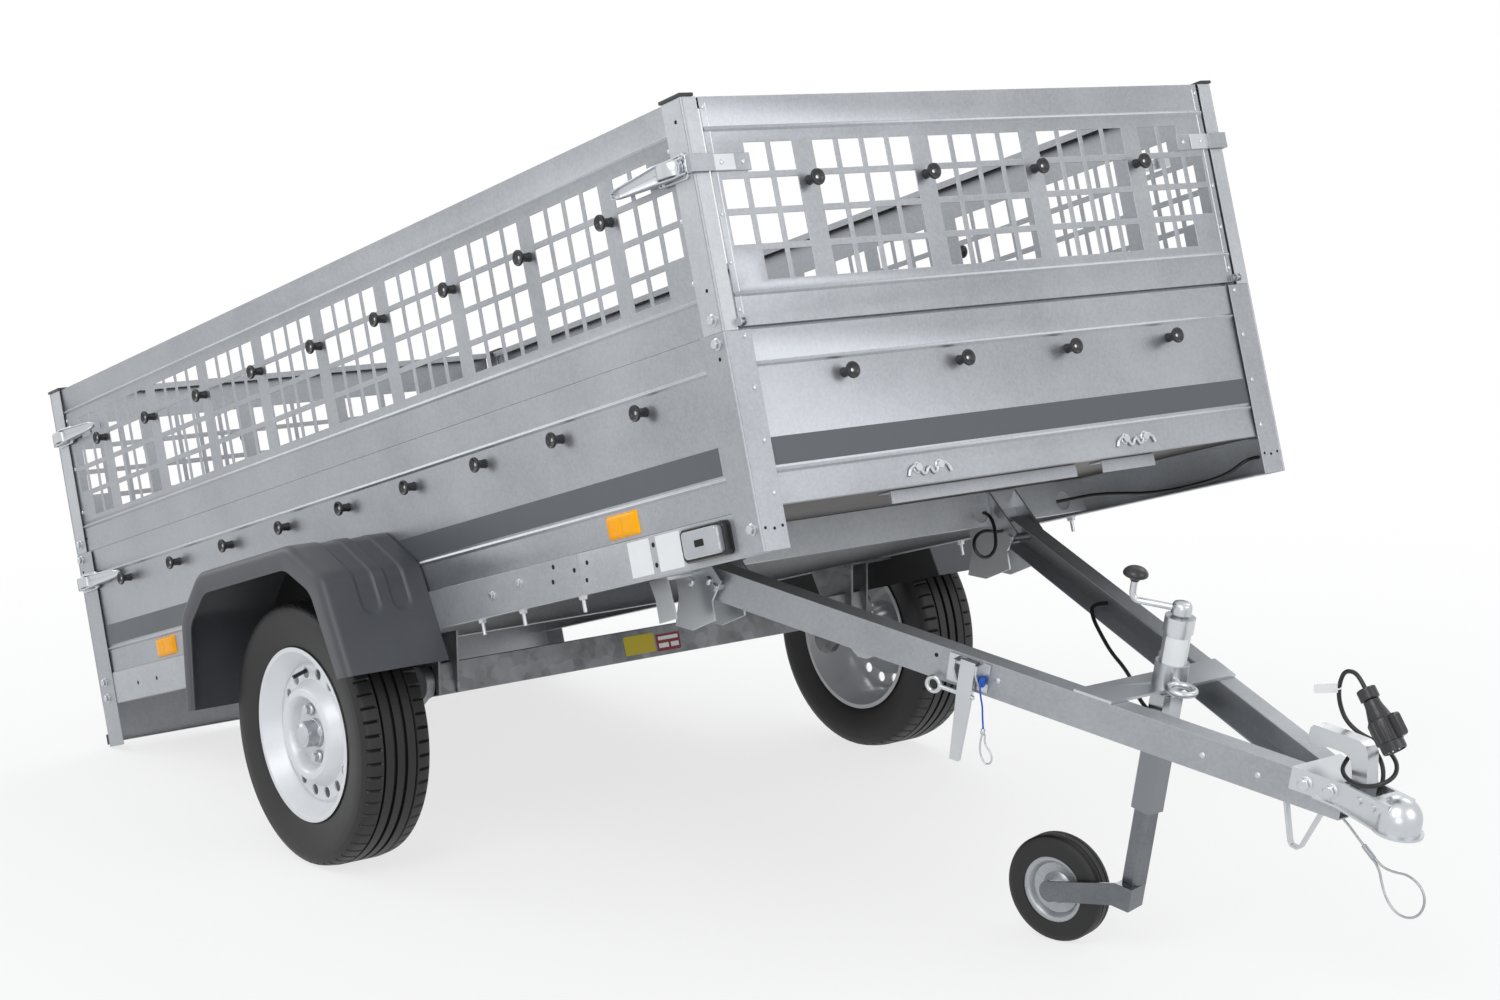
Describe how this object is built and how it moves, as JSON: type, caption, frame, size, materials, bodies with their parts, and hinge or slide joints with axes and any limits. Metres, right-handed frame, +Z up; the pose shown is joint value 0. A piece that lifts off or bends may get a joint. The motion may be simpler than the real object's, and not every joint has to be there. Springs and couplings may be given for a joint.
{
  "type": "tipping utility trailer with mesh sides",
  "caption": "Single axle box trailer with mesh side walls, opening gates, a V drawbar that hinges for tipping, and a jockey wheel.",
  "frame": {"origin": "on the floor, below the middle of the trailer's length and width", "axes": "+X forward to the coupling, +Y to the trailer's left, +Z up"},
  "size_m": [3.6512, 1.7646, 1.549],
  "materials": {
    "amber_lens": "reflector",
    "blank_plate": "blank",
    "blue_cord": "blue cord",
    "bright_zinc": "bright zinc plated",
    "cable_sheath": "black sheath",
    "dark_ferrule": "crimped sleeve",
    "dipped_zinc": "hot dipped, dull",
    "frame_zinc": "galvanised profile",
    "guard_plastic": "moulded, grained",
    "knob_plastic": "moulded",
    "lamp_housing": "clear lens in a black housing",
    "plywood": "film faced plywood",
    "red_lens": "lamp lens",
    "rim_paint": "silver paint",
    "rubber_tyre": "black rubber",
    "solid_rubber": "black rubber",
    "steel_rope": "wire rope",
    "wall_zinc": "galvanised sheet"
  },
  "bodies": {
    "chassis": {"axle_beam": "dipped_zinc", "axle_brackets": "dipped_zinc", "cross_channels": "frame_zinc", "floor_board": "plywood", "frame_cable": "cable_sheath", "frame_rail_left": "frame_zinc", "frame_rail_right": "frame_zinc", "front_lower_posts": "wall_zinc", "hinge_brackets": "bright_zinc", "lower_front_wall": "wall_zinc", "lower_side_wall_left": "wall_zinc", "lower_side_wall_right": "wall_zinc", "marker_lamps": "lamp_housing", "mesh_side_wall_left": "wall_zinc", "mesh_side_wall_right": "wall_zinc", "mudguard_left": "guard_plastic", "mudguard_right": "guard_plastic", "number_plate": "blank_plate", "post_caps": "knob_plastic", "rear_buffers": "solid_rubber", "rear_lamps": "red_lens", "rear_lower_posts": "wall_zinc", "rear_valance": "frame_zinc", "side_reflectors": "amber_lens", "swing_arms": "dipped_zinc", "toggle_levers": "bright_zinc", "upper_posts": "wall_zinc", "wall_knobs": "knob_plastic"},
    "wheel_right": {"tyre_right": "rubber_tyre", "rim_right": "rim_paint", "hub_right": "bright_zinc"},
    "wheel_left": {"tyre_left": "rubber_tyre", "rim_left": "rim_paint", "hub_left": "bright_zinc"},
    "drawbar": {"drawbar_beam_right": "frame_zinc", "drawbar_beam_left": "frame_zinc", "bridge_plate": "frame_zinc", "coupling_body": "bright_zinc", "coupling_handle": "bright_zinc", "tipping_latch": "bright_zinc", "jockey_tube": "bright_zinc", "jockey_crank": "bright_zinc", "electric_cable": "cable_sheath", "electric_plug": "knob_plastic", "cable_guide": "bright_zinc", "breakaway_cable": "steel_rope", "breakaway_ferrule": "dark_ferrule", "breakaway_loop": "steel_rope", "lanyard": "blue_cord", "lanyard_clip": "bright_zinc"},
    "jockey_leg": {"jockey_leg": "dipped_zinc"},
    "jockey_fork": {"jockey_fork": "bright_zinc"},
    "jockey_wheel": {"jockey_tyre": "solid_rubber", "jockey_rim": "bright_zinc"},
    "front_gate": {"front_gate": "wall_zinc", "front_gate_knobs": "knob_plastic"},
    "rear_gate": {"rear_gate": "wall_zinc", "rear_gate_knobs": "knob_plastic"},
    "tailgate": {"tailgate": "wall_zinc", "tailgate_knobs": "knob_plastic"}
  },
  "joints": [
    {"name": "wheel_right_spin", "type": "hinge", "parent": "chassis", "child": "wheel_right", "pos_m": [-0.34745, -0.74, 0.2735], "axis": [0, 1, 0], "continuous": true},
    {"name": "wheel_left_spin", "type": "hinge", "parent": "chassis", "child": "wheel_left", "pos_m": [-0.34745, 0.74, 0.2735], "axis": [0, 1, 0], "continuous": true},
    {"name": "tip_hinge", "type": "hinge", "parent": "chassis", "child": "drawbar", "pos_m": [0.53299, 0, 0.64058], "axis": [0, -1, 0], "range_deg": [0, 23.5]},
    {"name": "jockey_slide", "type": "slide", "parent": "drawbar", "child": "jockey_leg", "axis": [0.2198, 0, 0.9755], "range_m": [0, 0.138]},
    {"name": "jockey_swivel", "type": "hinge", "parent": "jockey_leg", "child": "jockey_fork", "pos_m": [1.20069, 0, 0.13731], "axis": [0.2198, 0, 0.9755], "continuous": true},
    {"name": "jockey_spin", "type": "hinge", "parent": "jockey_fork", "child": "jockey_wheel", "pos_m": [1.04434, -0.03203, 0.10079], "axis": [-0.2111, 0.9763, 0.0476], "continuous": true},
    {"name": "front_gate_hinge", "type": "hinge", "parent": "chassis", "child": "front_gate", "pos_m": [0.89357, 0, 1.16665], "axis": [0, 1, 0], "range_deg": [0, 165]},
    {"name": "rear_gate_hinge", "type": "hinge", "parent": "chassis", "child": "rear_gate", "pos_m": [-1.73232, 0, 0.47286], "axis": [0, -1, 0], "range_deg": [0, 165]},
    {"name": "tailgate_hinge", "type": "hinge", "parent": "chassis", "child": "tailgate", "pos_m": [-1.65543, 0, 0.18184], "axis": [0, -1, 0], "range_deg": [0, 150]}
  ]
}
